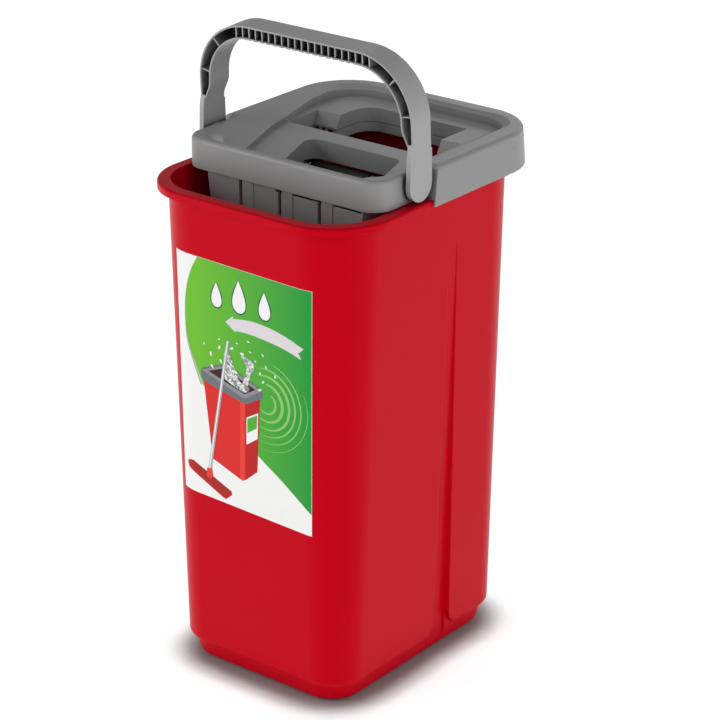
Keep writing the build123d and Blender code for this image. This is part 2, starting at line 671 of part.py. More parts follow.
def make_squeegee_blade():
    with BuildPart() as squeegee_blade:
        with BuildSketch(across(MIDDLE_X - 60)):
            with BuildLine():
                Polyline((1, BLADE_Z), (22, BLADE_Z), (23.5, BLADE_Z + 0.8), (22, BLADE_Z + 2),
                         (1, BLADE_Z + 2), close=True)
            make_face()
        extrude(amount=120)
        with Locations(*[(x, 9, BLADE_Z) for x in BLADE_SCREW_XS]):
            Cylinder(SCREW_R, 20, mode=Mode.SUBTRACT)
    return squeegee_blade


def make_blade_clamp():
    with BuildPart() as blade_clamp:
        with BuildSketch(across(MIDDLE_X - 58)):
            with BuildLine():
                Polyline((4.4, BLADE_Z + 2), (14, BLADE_Z + 2), (14, BLADE_Z + 3.2), (12.6, BLADE_Z + 4),
                         (4.4, BLADE_Z + 4), close=True)
            make_face()
        extrude(amount=116)
        with Locations(*[(x, 9, BLADE_Z) for x in BLADE_SCREW_XS]):
            Cylinder(SCREW_R, 20, mode=Mode.SUBTRACT)
    return blade_clamp


def make_blade_screws():
    places = [Plane(origin=(x, 9, BLADE_Z + 4), x_dir=(1, 0, 0), z_dir=(0, 0, -1)) for x in BLADE_SCREW_XS]
    return make_screws(places, 8.0)


def make_roller_bushes():
    with BuildPart() as roller_bushes:
        for start_x in (MIDDLE_X - CARRIER_HALF, MIDDLE_X + CARRIER_HALF - EAR_THICKNESS):
            with BuildSketch(across(start_x)):
                with Locations((ROLLER_Y, ROLLER_Z)):
                    Circle(4)
                    Circle(AXLE_R + RUNNING_GAP, mode=Mode.SUBTRACT)
            extrude(amount=EAR_THICKNESS)
    return roller_bushes


def turned(half, outer_r, inner_r):
    """Ring or tube on the squeeze roller's axis, centred across the insert."""
    with BuildPart() as ring:
        with BuildSketch(across(MIDDLE_X - half)):
            with Locations((ROLLER_Y, ROLLER_Z)):
                Circle(outer_r)
                if inner_r:
                    Circle(inner_r, mode=Mode.SUBTRACT)
        extrude(amount=2 * half)
    return ring


def make_roller_core():
    return turned(ROLLER_HALF + 1.5, 6.0, AXLE_R)


def make_roller_sleeve():
    with BuildPart() as roller_sleeve:
        add(turned(ROLLER_HALF, ROLLER_R, 6.0).part)
        outer = roller_sleeve.edges().filter_by(GeomType.CIRCLE).filter_by(lambda edge: edge.radius > 9)
        fillet(outer, 1.5)
    return roller_sleeve


def make_roller_axle():
    with BuildPart() as roller_axle:
        add(turned(CARRIER_HALF + 0.8, AXLE_R, 0).part)
        chamfer(roller_axle.edges().filter_by(GeomType.CIRCLE), 0.4)
    return roller_axle


# ---- carry handle -------------------------------------------------------------------------
def handle_outline(inset):
    """Front view of the upright handle's arch, drawn in by inset from both its edges."""
    straight = HANDLE_HALF - HANDLE_ARC
    arc_z = HANDLE_TOP_Z - HANDLE_ARC
    outer_r = HANDLE_ARC - inset
    inner_r = HANDLE_ARC - HANDLE_BAR + inset
    outer_x = HANDLE_HALF - inset
    arm_x = HANDLE_HALF - ARM_THICKNESS + inset
    foot_z = NECK_Z if inset else PIVOT_Z
    lean = 0.5 ** 0.5
    with BuildSketch() as outline:
        with BuildLine():
            Line((0, HANDLE_TOP_Z - inset), (straight, HANDLE_TOP_Z - inset))
            ThreePointArc(
                (straight, HANDLE_TOP_Z - inset),
                (straight + outer_r * lean, arc_z + outer_r * lean),
                (outer_x, arc_z),
            )
            Line((outer_x, arc_z), (outer_x, foot_z))
            Line((outer_x, foot_z), (arm_x, foot_z))
            if foot_z < NECK_Z:
                Line((arm_x, foot_z), (arm_x, NECK_Z))
            Spline((arm_x, NECK_Z), (straight + inner_r, arc_z), tangents=((0, 1), (0, 1)))
            ThreePointArc(
                (straight + inner_r, arc_z),
                (straight + inner_r * lean, arc_z + inner_r * lean),
                (straight, arc_z + inner_r),
            )
            Line((straight, arc_z + inner_r), (0, arc_z + inner_r))
            Line((0, arc_z + inner_r), (0, HANDLE_TOP_Z - inset))
        make_face()
        mirror(about=Plane.YZ)
    return outline.sketch


def make_handle():
    depth = HANDLE_BACK_Y - HANDLE_FRONT_Y
    middle_y = (HANDLE_BACK_Y + HANDLE_FRONT_Y) / 2
    whole = handle_outline(0)
    channel = handle_outline(HANDLE_WALL)
    arc_z = HANDLE_TOP_Z - HANDLE_ARC
    rib_width, rib_length, rib_depth = 1.0, HANDLE_BAR - 1.0, depth - 1.2
    with BuildPart() as handle:
        with BuildSketch(Plane.XZ.offset(-HANDLE_BACK_Y)):
            add(whole)
        extrude(amount=depth)
        fillet(handle.faces().sort_by(Axis.Y)[-1].edges(), 1.5)
        with BuildSketch(Plane.XZ.offset(-HANDLE_BACK_Y + HANDLE_WEB)):
            add(channel)
        extrude(amount=depth, mode=Mode.SUBTRACT)
        # grip ribs across the channel, then spokes in each bend
        for step in range(GRIP_RIBS):
            rib_x = (step - (GRIP_RIBS - 1) / 2) * GRIP_PITCH
            past_bend = max(0.0, abs(rib_x) - (HANDLE_HALF - HANDLE_ARC))
            drop = HANDLE_ARC - math.sqrt(HANDLE_ARC ** 2 - past_bend ** 2)
            with Locations((rib_x, middle_y + 0.2, HANDLE_TOP_Z - HANDLE_BAR / 2 - drop)):
                Box(rib_width, rib_depth, rib_length)
        for side in (-1, 1):
            for angle in (45, 9):
                spoke = Plane(
                    origin=(side * (HANDLE_HALF - HANDLE_ARC), middle_y + 0.2, arc_z),
                    x_dir=(side * math.cos(math.radians(angle)), 0, math.sin(math.radians(angle))),
                    z_dir=(0, 1, 0),
                )
                with Locations(spoke):
                    with Locations((HANDLE_ARC - HANDLE_BAR / 2, 0, 0)):
                        Box(rib_length, rib_width, rib_depth)
        # finger notches under the bar, between the ribs
        with Locations((0, HANDLE_FRONT_Y, HANDLE_TOP_Z - HANDLE_BAR)):
            with GridLocations(GRIP_PITCH, 1, GRIP_RIBS - 5, 1):
                Box(2.6, 6.0, 1.2, mode=Mode.SUBTRACT)
        # rounded feet with the snap-in studs
        for side in (-1, 1):
            inner_x = side * (HANDLE_HALF - ARM_THICKNESS)
            foot = Plane(origin=(inner_x, PIVOT_Y, PIVOT_Z), x_dir=(0, side, 0), z_dir=(side, 0, 0))
            low_x = min(inner_x, side * HANDLE_HALF)
            with BuildSketch(across(low_x)):
                with Locations((PIVOT_Y, PIVOT_Z)):
                    Circle(FOOT_R)
                with BuildLine():
                    Polyline((PIVOT_Y - FOOT_R, PIVOT_Z), (PIVOT_Y + FOOT_R, PIVOT_Z),
                             (HANDLE_BACK_Y, NECK_Z), (HANDLE_FRONT_Y, NECK_Z + 8),
                             (HANDLE_FRONT_Y - 2.2, NECK_Z), close=True)
                make_face()
            extrude(amount=ARM_THICKNESS)
            with BuildSketch(foot):
                Circle(STUD_R)
            extrude(amount=-7.0)
            with BuildSketch(foot.offset(-6.8)):
                Circle(STUD_R + 1.0)
            with BuildSketch(foot.offset(-8.6)):
                Circle(STUD_R - 0.6)
            loft()
    with BuildPart() as leaning:
        add(handle.part.rotate(Axis((0, PIVOT_Y, PIVOT_Z), (1, 0, 0)), HANDLE_LEAN))
    return leaning


PIECES = {
    "bucket": make_bucket,
    "front_label": make_front_label,
    "top_frame": make_top_frame,
    "slot_collar": make_slot_collar,
    "roller_housing": make_roller_housing,
    "left_cheek": lambda: make_cheek(-1),
    "right_cheek": lambda: make_cheek(1),
    "housing_screws": make_housing_screws,
    "cheek_screws": make_cheek_screws,
    "carrier_pin": make_carrier_pin,
    "left_guide_pin": lambda: make_guide_pin(-1),
    "right_guide_pin": lambda: make_guide_pin(1),
    "left_guide_roller": lambda: make_guide_roller(-1),
    "right_guide_roller": lambda: make_guide_roller(1),
    "squeeze_carrier": make_squeeze_carrier,
    "torsion_springs": make_torsion_springs,
    "squeegee_blade": make_squeegee_blade,
    "blade_clamp": make_blade_clamp,
    "blade_screws": make_blade_screws,
    "roller_bushes": make_roller_bushes,
    "roller_core": make_roller_core,
    "roller_sleeve": make_roller_sleeve,
    "roller_axle": make_roller_axle,
    "handle": make_handle,
}

os.makedirs("parts", exist_ok=True)
for name, make in PIECES.items():
    save(make(), name)
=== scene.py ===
"""Flat-mop squeeze bucket: finishes, printed label, wire springs and a small studio."""

import json
import math

import bmesh
import bpy
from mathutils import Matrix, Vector
from mathutils.bvhtree import BVHTree


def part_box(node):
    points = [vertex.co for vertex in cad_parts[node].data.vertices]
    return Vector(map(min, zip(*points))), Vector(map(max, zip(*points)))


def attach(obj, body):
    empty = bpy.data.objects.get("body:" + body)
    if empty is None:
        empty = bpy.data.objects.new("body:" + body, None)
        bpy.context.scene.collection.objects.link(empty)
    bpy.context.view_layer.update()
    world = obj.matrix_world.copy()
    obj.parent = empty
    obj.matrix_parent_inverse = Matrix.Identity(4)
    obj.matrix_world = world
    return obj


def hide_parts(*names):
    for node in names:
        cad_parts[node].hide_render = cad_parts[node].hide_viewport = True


bl_info = {
    "name": "Squeeze Bucket",
    "version": (1, 0, 0),
    "blender": (4, 5, 0),
    "location": "3D View > Sidebar > Bucket",
    "description": "Finishes, label print, springs and studio for a flat-mop squeeze bucket",
    "category": "Object",
}

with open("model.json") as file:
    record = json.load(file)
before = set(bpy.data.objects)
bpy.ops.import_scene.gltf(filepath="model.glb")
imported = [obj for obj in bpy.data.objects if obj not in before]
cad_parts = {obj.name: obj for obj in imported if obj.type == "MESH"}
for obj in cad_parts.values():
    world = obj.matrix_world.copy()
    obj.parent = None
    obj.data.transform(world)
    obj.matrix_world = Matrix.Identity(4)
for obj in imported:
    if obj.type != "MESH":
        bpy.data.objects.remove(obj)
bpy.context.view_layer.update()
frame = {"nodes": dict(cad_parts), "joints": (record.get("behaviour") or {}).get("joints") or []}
cad_nodes = frame["nodes"]
joints = {joint["name"]: joint for joint in frame["joints"]}

GREY_PARTS = ("top_frame", "slot_collar", "roller_housing")
DARK_PARTS = ("left_cheek", "right_cheek", "squeeze_carrier", "blade_clamp", "roller_core")
PALE_PARTS = ("left_guide_roller", "right_guide_roller", "roller_bushes")
PIN_PARTS = ("carrier_pin", "left_guide_pin", "right_guide_pin", "roller_axle")
SCREW_PARTS = ("housing_screws", "cheek_screws", "blade_screws")


# ---- settings -----------------------------------------------------------------------------
def colour_property(name, description, default):
    return bpy.props.FloatVectorProperty(
        name=name, description=description, default=default, size=3, min=0.0, max=1.0, subtype="COLOR"
    )


def length_property(name, description, default, **limits):
    return bpy.props.FloatProperty(
        name=name, description=description, default=default, unit="LENGTH", **limits
    )


def power_property(name, description, default):
    return bpy.props.FloatProperty(name=name, description=description, default=default, unit="POWER")


def angle_property(name, description, degrees):
    return bpy.props.FloatProperty(
        name=name, description=description, default=math.radians(degrees), subtype="ANGLE"
    )


class BucketPlastics(bpy.types.PropertyGroup):
    tub: colour_property("Tub", "Colour of the red tub", (0.54, 0.0002, 0.010))
    grey: colour_property("Grey parts", "Colour of the insert and the handle", (0.28, 0.28, 0.28))
    dark: colour_property("Dark parts", "Colour of the wringer's black parts", (0.012, 0.012, 0.013))
    pale: colour_property("Small rollers", "Colour of the guide rollers and bushes", (0.62, 0.61, 0.58))
    rubber: colour_property("Rubber", "Colour of the squeegee blade", (0.018, 0.018, 0.019))
    sleeve: colour_property("Roller sleeve", "Colour of the squeeze roller's sleeve", (0.10, 0.105, 0.115))
    grain: length_property("Grain depth", "Depth of the moulded grain", 0.00003, min=0.0)
    edge: length_property("Edge softness", "Radius that softens moulded edges", 0.0007, min=0.0)


class BucketLabel(bpy.types.PropertyGroup):
    paper: colour_property("Paper", "White of the label", (0.86, 0.86, 0.85))
    leaf: colour_property("Light green", "Green at the label's left edge", (0.155, 0.50, 0.025))
    grass: colour_property("Deep green", "Green at the label's right edge", (0.012, 0.30, 0.045))
    ring: colour_property("Rings", "Pale green of the rings", (0.25, 0.55, 0.15))
    banner: colour_property("Banner", "Pale grey of the banner", (0.70, 0.66, 0.68))
    outline: colour_property("Outline", "Dark green round the drops", (0.004, 0.10, 0.045))
    lift: length_property("Ink step", "Height of one printed layer over the next", 0.00003)


class BucketSpring(bpy.types.PropertyGroup):
    wire: length_property("Wire radius", "Radius of the spring wire", 0.0008, min=0.0001)
    turns: bpy.props.IntProperty(name="Turns", description="Turns in each spring", default=5, min=2)


class BucketStudio(bpy.types.PropertyGroup):
    lens: bpy.props.FloatProperty(
        name="Lens", description="Focal length in millimetres", default=133.86, unit="CAMERA"
    )
    azimuth: angle_property("Azimuth", "Camera to the right of the front", 38.25)
    elevation: angle_property("Elevation", "Camera above the level", 22.89)
    distance: length_property("Distance", "Camera to target", 2.0594)
    floor: colour_property("Floor", "Colour of the pale floor", (0.36, 0.36, 0.36))
    world: bpy.props.FloatProperty(
        name="World light", description="Strength of the even light", default=0.36
    )
    key: power_property("Key light", "Power of the left light", 19.0)
    side: power_property("Side light", "Power of the right light", 12.0)
    corner: power_property("Corner light", "Power of the narrow light on the near corner", 3.0)
    back: power_property("Back light", "Power of the light behind", 5.0)


# ---- shader helpers -----------------------------------------------------------------------
def start_material(name, colour, roughness):
    """New material; returns it with its node tree and its shader."""
    material = bpy.data.materials.new(name)
    material.use_nodes = True
    material.diffuse_color = (*colour, 1.0)
    shader = material.node_tree.nodes["Principled BSDF"]
    shader.inputs["Base Color"].default_value = (*colour, 1.0)
    shader.inputs["Roughness"].default_value = roughness
    return material, material.node_tree, shader


def put(tree, kind, inputs=None, **settings):
    """Add a node; inputs are values or the sockets to link from."""
    node = tree.nodes.new(kind)
    for key, value in settings.items():
        setattr(node, key, value)
    for key, value in (inputs or {}).items():
        if isinstance(value, bpy.types.NodeSocket):
            tree.links.new(value, node.inputs[key])
        else:
            node.inputs[key].default_value = value
    return node


def object_space(tree, stretch=(1.0, 1.0, 1.0)):
    """The object's own coordinates in metres, stretched along each axis."""
    place = put(tree, "ShaderNodeTexCoord")
    return put(tree, "ShaderNodeMapping", {"Vector": place.outputs["Object"], "Scale": stretch}).outputs[0]


def noise(tree, where, scale, detail=2.0, roughness=0.5):
    """Cloudy pattern from 0 to 1; scale is about its waves per metre."""
    inputs = {"Vector": where, "Scale": scale, "Detail": detail, "Roughness": roughness}
    return put(tree, "ShaderNodeTexNoise", inputs).outputs["Fac"]


def remap(tree, value, before, after):
    """Stretch the range before, a pair, onto the range after, and hold it there past its ends."""
    inputs = {
        "Value": value,
        "From Min": before[0],
        "From Max": before[1],
        "To Min": after[0],
        "To Max": after[1],
    }
    return put(tree, "ShaderNodeMapRange", inputs).outputs["Result"]


def combine(tree, operation, first, second):
    return put(tree, "ShaderNodeMath", {0: first, 1: second}, operation=operation).outputs[0]


def mix_colour(tree, factor, first, second):
    """Blend of two colours, each a colour or a socket."""
    node = put(tree, "ShaderNodeMix", data_type="RGBA")
    for index, value in ((0, factor), (6, first), (7, second)):
        if isinstance(value, bpy.types.NodeSocket):
            tree.links.new(value, node.inputs[index])
        elif index == 0:
            node.inputs[index].default_value = value
        else:
            node.inputs[index].default_value = (*value, 1.0)
    return node.outputs[2]


def bump(tree, height, distance, normal=None, strength=1.0):
    """Normal of a relief that is distance deep, laid over another normal."""
    inputs = {"Height": height, "Distance": distance, "Strength": strength}
    if normal is not None:
        inputs["Normal"] = normal
    return put(tree, "ShaderNodeBump", inputs).outputs["Normal"]


def shade(colour, factor):
    """Colour made darker or lighter."""
    return tuple(min(1.0, channel * factor) for channel in colour)


# ---- finishes -----------------------------------------------------------------------------
def moulded_plastic(
    name,
    colour,
    roughness,
    grain,
    edge,
    specular=0.4,
    drift=0.10,
    scuff_height=0.0,
    painted_shade_reach=0.0,
    edge_gain=1.2,
    tint=None,
):
    """Satin moulded plastic: fine grain, cloudy gloss, long flow lines and soft edges lightened, partly as
    wear and partly as a painted highlight.

    painted_shade_reach is how far a painted shade looks for a wall to darken the crevices beside it,
    scuff_height how far up the foot is scuffed; 0 leaves either out. Tint colours the gloss.
    """
    material, tree, shader = start_material(name, colour, roughness)
    where = object_space(tree)
    cloud = noise(tree, where, scale=9.0, detail=3.0)
    flow = noise(tree, object_space(tree, stretch=(1.0, 1.0, 0.08)), scale=55.0)
    fine = noise(tree, where, scale=1500.0)
    hairlines = noise(
        tree, object_space(tree, stretch=(1.0, 0.35, 6.0)), scale=160.0, detail=4.0, roughness=0.7
    )

    # colour: slow drift, then edges lightened, partly as wear and partly as a painted highlight
    rounded = put(tree, "ShaderNodeBevel", {"Radius": edge}, samples=4).outputs["Normal"]
    flat = put(tree, "ShaderNodeNewGeometry").outputs["Normal"]
    facing = put(tree, "ShaderNodeVectorMath", {0: rounded, 1: flat}, operation="DOT_PRODUCT")
    # edge mask: partly wear, partly a painted highlight along the rounded edges
    edge_wear_and_highlight = remap(tree, facing.outputs["Value"], before=(0.97, 0.80), after=(0.0, 0.8))
    drifting = remap(tree, cloud, before=(0.3, 0.7), after=(0.0, 1.0))
    base = mix_colour(tree, drifting, shade(colour, 1.0 - drift / 2), colour)
    base = mix_colour(tree, edge_wear_and_highlight, base, shade(colour, edge_gain))

    # gloss: cloudy, with hairline scratches
    gloss = remap(tree, cloud, before=(0.25, 0.75), after=(roughness - 0.03, roughness + 0.04))
    scratches = remap(tree, hairlines, before=(0.66, 0.74), after=(0.0, 0.10))
    matt = combine(tree, "ADD", gloss, scratches)

    # painted shade: crevices close to a wall are darkened as if shade fell there
    if painted_shade_reach:
        openness = put(tree, "ShaderNodeAmbientOcclusion", {"Distance": painted_shade_reach}, samples=6)
        painted_crevice_shade = remap(tree, openness.outputs["AO"], before=(0.18, 0.62), after=(1.0, 0.0))
        base = mix_colour(tree, painted_crevice_shade, base, shade(colour, 0.06))
    if scuff_height:
        height = put(tree, "ShaderNodeSeparateXYZ", {0: where}).outputs["Z"]
        low_down = remap(tree, height, before=(scuff_height, 0.0), after=(0.0, 1.0))
        speckle = noise(tree, where, scale=240.0, detail=5.0, roughness=0.65)
        marks = remap(tree, speckle, before=(0.56, 0.66), after=(0.0, 0.5))
        scuffed = combine(tree, "MULTIPLY", low_down, marks)
        base = mix_colour(tree, scuffed, base, shade(colour, 0.80))
        matt = combine(tree, "ADD", matt, scuffed)

    flow_relief = bump(tree, flow, grain * 1.5, normal=rounded, strength=0.5)
    relief = bump(tree, fine, grain, normal=flow_relief, strength=0.6)
    tree.links.new(base, shader.inputs["Base Color"])
    tree.links.new(matt, shader.inputs["Roughness"])
    tree.links.new(relief, shader.inputs["Normal"])
    shader.inputs["Specular IOR Level"].default_value = specular
    if tint:
        shader.inputs["Specular Tint"].default_value = (*tint, 1.0)
    return material


def metal(name, colour, roughness, brush):
    """Drawn or ground steel with fine lines along X; brush is the lines' scale."""
    material, tree, shader = start_material(name, colour, roughness)
    lines = noise(tree, object_space(tree, stretch=(0.05, 1.0, 1.0)), brush, detail=3.0)
    blotch = noise(tree, object_space(tree), scale=90.0)
    dull = remap(tree, blotch, before=(0.3, 0.7), after=(roughness - 0.06, roughness + 0.08))
    toned = mix_colour(tree, blotch, shade(colour, 0.85), shade(colour, 1.1))
    tree.links.new(dull, shader.inputs["Roughness"])
    tree.links.new(toned, shader.inputs["Base Color"])
    tree.links.new(bump(tree, lines, distance=0.00001), shader.inputs["Normal"])
    shader.inputs["Metallic"].default_value = 1.0
    return material


def rubber(name, colour, roughness, pores):
    """Matt rubber with a dusty bloom; pores is the scale of its fine pores."""
    material, tree, shader = start_material(name, colour, roughness)
    where = object_space(tree)
    dust = noise(tree, where, scale=60.0, detail=4.0)
    bloom = remap(tree, dust, before=(0.35, 0.7), after=(0.0, 0.35))
    matt = remap(tree, bloom, before=(0.0, 0.35), after=(roughness - 0.05, roughness + 0.05))
    cells = put(tree, "ShaderNodeTexVoronoi", {"Vector": where, "Scale": pores}).outputs["Distance"]
    tree.links.new(mix_colour(tree, bloom, colour, shade(colour, 1.7)), shader.inputs["Base Color"])
    tree.links.new(matt, shader.inputs["Roughness"])
    tree.links.new(bump(tree, cells, distance=0.00005), shader.inputs["Normal"])
    shader.inputs["Specular IOR Level"].default_value = 0.3
    return material


def ink(name, colour, right_colour=None):
    """Printed film: smooth coat, faint dots and a slight waviness, in one colour or two."""
    material, tree, shader = start_material(name, colour, 0.30)
    where = object_space(tree)
    base, darker = colour, shade(colour, 0.8)
    if right_colour is not None:
        low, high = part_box("front_label")
        plain_margin = 0.02
        across = put(tree, "ShaderNodeSeparateXYZ", {0: where}).outputs["X"]
        turning = remap(tree, across, before=(low.x + plain_margin, high.x), after=(0.0, 1.0))
        base, darker = mix_colour(tree, turning, colour, right_colour), shade(right_colour, 0.8)
    dots = remap(tree, noise(tree, where, 1800.0, detail=1.0), before=(0.35, 0.65), after=(0.0, 0.10))
    waves = noise(tree, where, scale=28.0)
    tree.links.new(mix_colour(tree, dots, base, darker), shader.inputs["Base Color"])
    tree.links.new(remap(tree, waves, (0.3, 0.7), (0.26, 0.36)), shader.inputs["Roughness"])
    tree.links.new(bump(tree, waves, distance=0.0002, strength=0.25), shader.inputs["Normal"])
    shader.inputs["Specular IOR Level"].default_value = 0.15
    return material


def splash_ink():
    """White print broken up by grey, for water."""
    material, tree, shader = start_material("label_water", (0.72, 0.72, 0.72), 0.3)
    broken = noise(tree, object_space(tree), scale=420.0, detail=4.0, roughness=0.7)
    patches = remap(tree, broken, before=(0.42, 0.60), after=(0.0, 1.0))
    grey_and_white = mix_colour(tree, patches, (0.14, 0.15, 0.15), (0.80, 0.80, 0.80))
    tree.links.new(grey_and_white, shader.inputs["Base Color"])
    tree.links.new(remap(tree, broken, (0.3, 0.7), (0.26, 0.36)), shader.inputs["Roughness"])
    return material


def dress(names, material):
    """Give CAD nodes their finish."""
    for name in names:
        slots = cad_nodes[name].data.materials
        slots.clear()
        slots.append(material)


# ---- label print --------------------------------------------------------------------------
# how many ink steps each printed piece stands above the paper
LAYERS = {
    "label_field": 2,
    "label_edge_line": 3,
    "label_rings": 3,
    "label_drop_edges": 3,
    "label_mop_head": 3,
    "label_banner": 4,
    "label_drops": 4,
    "label_bucket": 4,
    "label_mop_top": 4,
    "label_bucket_sides": 5,
    "label_bucket_rim": 6,
    "label_small_patch": 6,
    "label_bucket_lip": 7,
    "label_small_field": 7,
    "label_bucket_mouth": 8,
    "label_splash": 9,
    "label_beads": 10,
    "label_mop_pole": 11,
    "label_mop_shine": 12,
    "label_mop_socket": 13,
}

# fixed colours of the small picture
PICTURE_COLOURS = {
    "edge_grey": (0.42, 0.42, 0.42),
    "red": (0.68, 0.020, 0.018),
    "deep_red": (0.50, 0.010, 0.012),
    "light_red": (0.80, 0.050, 0.030),
    "mop_red": (0.36, 0.020, 0.016),
    "rim_grey": (0.15, 0.16, 0.18),
    "rim_light": (0.25, 0.26, 0.29),
    "inside": (0.05, 0.012, 0.012),
    "silver": (0.42, 0.42, 0.45),
}


class LabelSurface:
    """The label's front, and the drawing's frame: shares of its width and height from the top left."""

    left, top, width, height = -0.064, 0.342, 0.127, 0.194
    bend_start, bend_step, level_step = 0.046, 0.001, 0.012
    margin = 0.0002
    ray_start = 0.05

    def __init__(self, step):
        mesh = cad_nodes["front_label"].data
        places = [vertex.co for vertex in mesh.vertices]
        self.step = step
        self.tree = BVHTree.FromPolygons(places, [polygon.vertices for polygon in mesh.polygons])
        self.front = min(place.y for place in places) - self.ray_start
        self.cuts = self.bending_lines(places)
        self.edges = self.edge_planes(places)

    def bending_lines(self, places):
        """Upright and level cuts, close enough for the print to follow the tub's rounded corners."""
        widest = max(abs(place.x) for place in places)
        cuts = []
        for index in range(math.ceil((widest - self.bend_start) / self.bend_step)):
            for side in (-1, 1):
                cuts.append(((side * (self.bend_start + index * self.bend_step), 0, 0), (1, 0, 0)))
        for index in range(1, math.ceil(self.height / self.level_step)):
            cuts.append(((0, 0, self.top - index * self.level_step), (0, 0, 1)))
        return cuts

    def edge_planes(self, places):
        """A point and the outward direction of each edge of the label, drawn in by the margin."""
        corners = []
        for across, up in ((-1, 1), (1, 1), (1, -1), (-1, -1)):
            corner = max(places, key=lambda place: across * place.x + up * place.z)
            corners.append((corner.x - across * self.margin, corner.z - up * self.margin))
        return [
            ((x, 0, z), (z - next_z, 0, next_x - x))
            for (x, z), (next_x, next_z) in zip(corners, corners[1:] + corners[:1])
        ]

    def flat(self, across, down):
        return Vector((self.left + across * self.width, 0.0, self.top - down * self.height))

    def outline(self, shares):
        return [self.flat(across, down) for across, down in shares]

    def on_surface(self, point, lift):
        """Place on the label straight behind a point, raised by lift; None off the label."""
        start = Vector((point.x, self.front, point.z))
        place, normal, _, _ = self.tree.ray_cast(start, Vector((0.0, 1.0, 0.0)))
        if place is None:
            return None
        return place + normal * lift


def cut_shape(shape, place, direction, clear_outer=False):
    """Cut a flat shape along a plane, and drop what lies beyond it where asked."""
    everything = shape.verts[:] + shape.edges[:] + shape.faces[:]
    bmesh.ops.bisect_plane(
        shape, geom=everything, plane_co=place, plane_no=direction, clear_outer=clear_outer
    )


def printed_piece(surface, name, parts):
    """Flat outlines laid on the label as one piece; parts holds pairs of an outline and its ink."""
    mesh = bpy.data.meshes.new(name)
    shape = bmesh.new()
    inks = []
    for outline, material in parts:
        if material not in inks:
            inks.append(material)
        corners = [shape.verts.new(point) for point in outline]
        shape.faces.new(corners).material_index = inks.index(material)
    for place, direction in surface.cuts:
        cut_shape(shape, place, direction)
    for place, outward in surface.edges:
        cut_shape(shape, place, outward, clear_outer=True)
    bmesh.ops.triangulate(shape, faces=shape.faces[:])
    for vertex in shape.verts:
        place = surface.on_surface(vertex.co, surface.step * LAYERS[name])
        if place is None:
            raise RuntimeError(name + " reaches past the label")
        vertex.co = place
    for face in shape.faces:
        face.normal_update()
        if face.normal.y > 0:
            face.normal_flip()
    shape.to_mesh(mesh)
    shape.free()
    for material in inks:
        mesh.materials.append(material)
    piece = bpy.data.objects.new(name, mesh)
    bpy.context.scene.collection.objects.link(piece)
    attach(piece, "bucket")


def print_outline(surface, name, material, shares):
    """One printed outline, given in shares of the drawing's frame."""
    printed_piece(surface, name, [(surface.outline(shares), material)])


def smooth_line(points, steps=8):
    """Catmull-Rom curve through a few points."""
    result = []
    padded = [points[0], *points, points[-1]]
    for before, start, end, after in zip(padded, padded[1:], padded[2:], padded[3:]):
        for step in range(steps):
            t = step / steps
            result.append(
                tuple(
                    0.5
                    * (
                        2 * b
                        + (c - a) * t
                        + (2 * a - 5 * b + 4 * c - d) * t**2
                        + (3 * b - a - 3 * c + d) * t**3
                    )
                    for a, b, c, d in zip(before, start, end, after)
                )
            )
    result.append(points[-1])
    return result


def arc_band(centre, radius, thick_start, thick_end, start, end):
    """Crescent round a centre, pointed at both ends; lengths in metres, angles in degrees."""
    steps, thinnest = 48, 0.00004
    outer, inner = [], []
    for step in range(steps + 1):
        share = step / steps
        angle = math.radians(start + (end - start) * share)
        thick = (thick_start + (thick_end - thick_start) * share) / 2 * math.sin(math.pi * share) ** 0.5
        direction = Vector((math.cos(angle), 0.0, math.sin(angle)))
        outer.append(centre + direction * (radius + max(thick, thinnest)))
        inner.append(centre + direction * (radius - max(thick, thinnest)))
    return outer + inner[::-1]


def drop_outline(middle, size, grow=0.0, lean=0.0):
    """Water drop with its point up; size is its height in metres, grow widens it all round."""
    steps, half_width, taper = 40, 0.34, 1.4
    points = []
    for step in range(steps):
        angle = 2 * math.pi * step / steps
        x = (size * half_width) * math.sin(angle) * math.sin(angle / 2) ** taper
        z = size / 2 * math.cos(angle)
        length = math.hypot(x, z) or 1.0
        x, z = x * (1 + grow / length), z * (1 + grow / length)
        turned_x = x * math.cos(lean) + z * math.sin(lean)
        turned_z = -x * math.sin(lean) + z * math.cos(lean)
        points.append(middle + Vector((turned_x, 0.0, turned_z)))
    return points


def mix_inks(settings):
    """Every ink of the label by name."""
    inks = {
        "green": ink("label_green", settings.leaf, settings.grass),
        "ring": ink("label_ring", settings.ring),
        "banner": ink("label_banner", settings.banner),
        "outline": ink("label_outline", settings.outline),
        "white": ink("label_white", settings.paper),
    }
    for name, colour in PICTURE_COLOURS.items():
        inks[name] = ink("label_" + name, colour)
    inks["water"] = splash_ink()
    return inks


